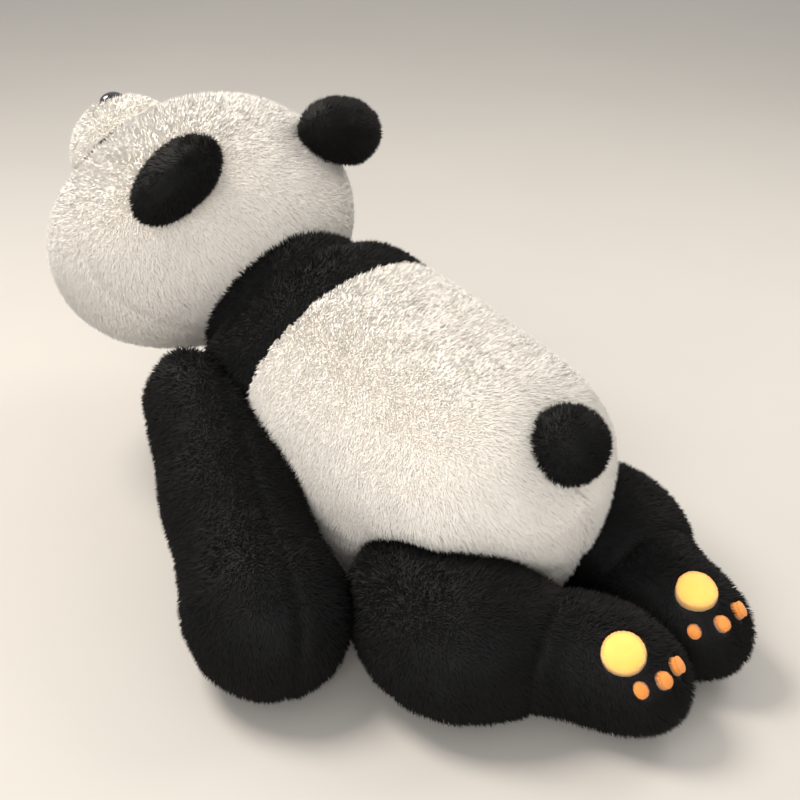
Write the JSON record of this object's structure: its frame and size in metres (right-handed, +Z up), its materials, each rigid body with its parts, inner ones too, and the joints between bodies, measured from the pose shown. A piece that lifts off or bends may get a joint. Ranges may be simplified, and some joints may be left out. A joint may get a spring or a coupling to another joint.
{
  "type": "plush panda",
  "caption": "Long soft toy panda lying on its front with a raised chest, loose stuffed arms and legs, a ball tail and sewn paw pads.",
  "frame": {"origin": "on the flat patch under the belly where the toy rests, on its middle plane", "axes": "face toward -Y, tail and soles toward +Y, +Z up, the toy's left side toward +X"},
  "size_m": [0.6066, 0.9089, 0.4251],
  "materials": {
    "white_plush": "short fluffy pile, warm white",
    "black_plush": "short fluffy pile, near black",
    "polyester_fill": "loose polyester fibre",
    "black_gloss_plastic": "glossy",
    "washer_plastic": "moulded",
    "black_thread": "satin stitched",
    "yellow_felt": "short nap with a stitched border",
    "orange_felt": "satin stitched"
  },
  "bodies": {
    "body": {"yoke_panel": "black_plush", "back_panel": "white_plush", "belly_panel": "white_plush", "body_stuffing": "polyester_fill"},
    "neck": {"neck_roll": "black_plush"},
    "head": {"head_face_panel": "white_plush", "head_back_panel": "white_plush", "head_stuffing": "polyester_fill", "muzzle_panel": "white_plush", "muzzle_stuffing": "polyester_fill", "nose": "black_gloss_plastic", "nose_washer": "washer_plastic", "mouth_stitch": "black_thread", "eye_patch_left": "black_plush", "eye_patch_right": "black_plush", "eye_left": "black_gloss_plastic", "eye_right": "black_gloss_plastic", "eye_washer_left": "washer_plastic", "eye_washer_right": "washer_plastic"},
    "ear_l": {"ear_left": "black_plush", "ear_stuffing_left": "polyester_fill"},
    "ear_r": {"ear_right": "black_plush", "ear_stuffing_right": "polyester_fill"},
    "tail": {"tail_cover": "black_plush", "tail_stuffing": "polyester_fill"},
    "arm_l": {"arm_outer_left": "black_plush", "arm_inner_left": "black_plush", "arm_stuffing_left": "polyester_fill"},
    "leg_l": {"leg_panel_left": "black_plush", "foot_panel_left": "black_plush", "leg_stuffing_left": "polyester_fill", "sole_pad_left": "yellow_felt", "toe_pads_left": "orange_felt"},
    "arm_r": {"arm_outer_right": "black_plush", "arm_inner_right": "black_plush", "arm_stuffing_right": "polyester_fill"},
    "leg_r": {"leg_panel_right": "black_plush", "foot_panel_right": "black_plush", "leg_stuffing_right": "polyester_fill", "sole_pad_right": "yellow_felt", "toe_pads_right": "orange_felt"}
  },
  "joints": [
    {"name": "neck_turn", "type": "hinge", "parent": "body", "child": "neck", "pos_m": [0, -0.1387, 0.21395], "axis": [0, 0.862, -0.507], "range_deg": [-15, 15], "stiffness_Nm_per_rad": 8},
    {"name": "neck_nod", "type": "hinge", "parent": "neck", "child": "head", "pos_m": [0, -0.268, 0.29], "axis": [1, 0, 0], "range_deg": [-8, 8], "stiffness_Nm_per_rad": 8},
    {"name": "ear_left_flap", "type": "hinge", "parent": "head", "child": "ear_l", "pos_m": [0.106, -0.184, 0.378], "axis": [0.9314, 0.0501, -0.3605], "range_deg": [-12, 12], "stiffness_Nm_per_rad": 0.3},
    {"name": "ear_right_flap", "type": "hinge", "parent": "head", "child": "ear_r", "pos_m": [-0.106, -0.184, 0.378], "axis": [0.9314, -0.0501, 0.3605], "range_deg": [-12, 12], "stiffness_Nm_per_rad": 0.3},
    {"name": "tail_flop", "type": "hinge", "parent": "body", "child": "tail", "pos_m": [0, 0.24, 0.214], "axis": [1, 0, 0], "range_deg": [-15, 15], "stiffness_Nm_per_rad": 0.2},
    {"name": "shoulder_left", "type": "hinge", "parent": "body", "child": "arm_l", "pos_m": [0.1362, -0.106, 0.176], "axis": [1, 0, 0], "range_deg": [0, 45], "stiffness_Nm_per_rad": 3},
    {"name": "shoulder_right", "type": "hinge", "parent": "body", "child": "arm_r", "pos_m": [-0.1362, -0.116, 0.16], "axis": [1, 0, 0], "range_deg": [-25, 0], "stiffness_Nm_per_rad": 3},
    {"name": "hip_left", "type": "hinge", "parent": "body", "child": "leg_l", "pos_m": [0.112, 0.16, 0.062], "axis": [1, 0, 0], "range_deg": [0, 8], "stiffness_Nm_per_rad": 6},
    {"name": "hip_right", "type": "hinge", "parent": "body", "child": "leg_r", "pos_m": [-0.084, 0.166, 0.062], "axis": [1, 0, 0], "range_deg": [0, 8], "stiffness_Nm_per_rad": 6}
  ]
}
